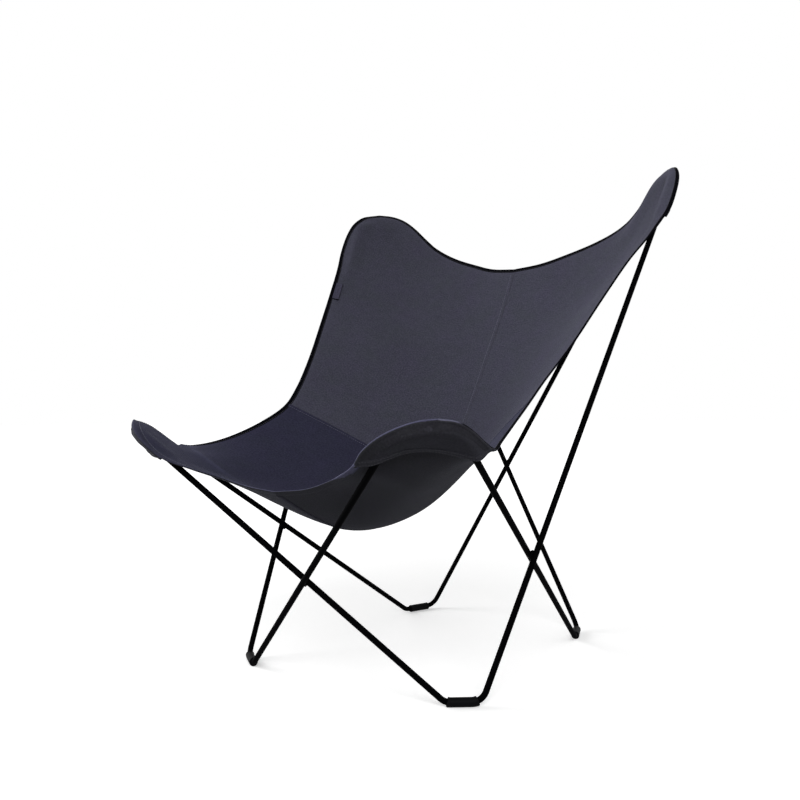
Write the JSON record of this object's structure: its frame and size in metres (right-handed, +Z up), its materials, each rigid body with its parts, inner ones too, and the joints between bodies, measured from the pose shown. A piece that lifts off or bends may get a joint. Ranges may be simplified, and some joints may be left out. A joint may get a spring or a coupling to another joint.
{
  "type": "butterfly sling chair",
  "caption": "Lounge chair with a sewn canvas sling hung by four corner pockets on a crossed frame of bent steel rod.",
  "frame": {"origin": "on the floor under the middle of the chair's box", "axes": "+Z up from the floor, -Y the way the sitter faces, +X to the right as seen from the front"},
  "size_m": [0.7874, 0.9014, 0.9295],
  "materials": {
    "frame_black": "satin black powder coat",
    "glide_black": "matte black plastic",
    "canvas_back": "charcoal blue canvas",
    "canvas_seat": "charcoal blue canvas",
    "canvas_pocket": "charcoal blue canvas, single layer",
    "canvas_hem": "turned and stitched canvas hem",
    "binding_black": "black woven binding",
    "tape_black": "dark woven seam tape",
    "tag_black": "blank woven tag"
  },
  "bodies": {
    "root": {"leg_a_front": "frame_black", "leg_a_right": "frame_black", "leg_a_rear": "frame_black", "leg_a_left": "frame_black", "leg_b_front": "frame_black", "leg_b_left": "frame_black", "leg_b_rear": "frame_black", "leg_b_right": "frame_black", "weld_front": "frame_black", "weld_rear": "frame_black", "weld_right": "frame_black", "weld_left": "frame_black", "glide_front_right": "glide_black", "glide_rear_left": "glide_black", "glide_front_left": "glide_black", "glide_rear_right": "glide_black", "sling_seat_right": "canvas_seat", "sling_back_right": "canvas_back", "pocket_front_right": "canvas_pocket", "mouth_hem_front_right": "canvas_hem", "pocket_back_right": "canvas_pocket", "mouth_hem_back_right": "canvas_hem", "sling_seat_left": "canvas_seat", "sling_back_left": "canvas_back", "pocket_front_left": "canvas_pocket", "mouth_hem_front_left": "canvas_hem", "pocket_back_left": "canvas_pocket", "mouth_hem_back_left": "canvas_hem", "binding_right": "binding_black", "binding_left": "binding_black", "binding_top": "binding_black", "hem_front": "canvas_hem", "tape_waist": "tape_black", "tape_seat": "tape_black", "tape_back": "tape_black", "tag": "tag_black"}
  },
  "joints": []
}
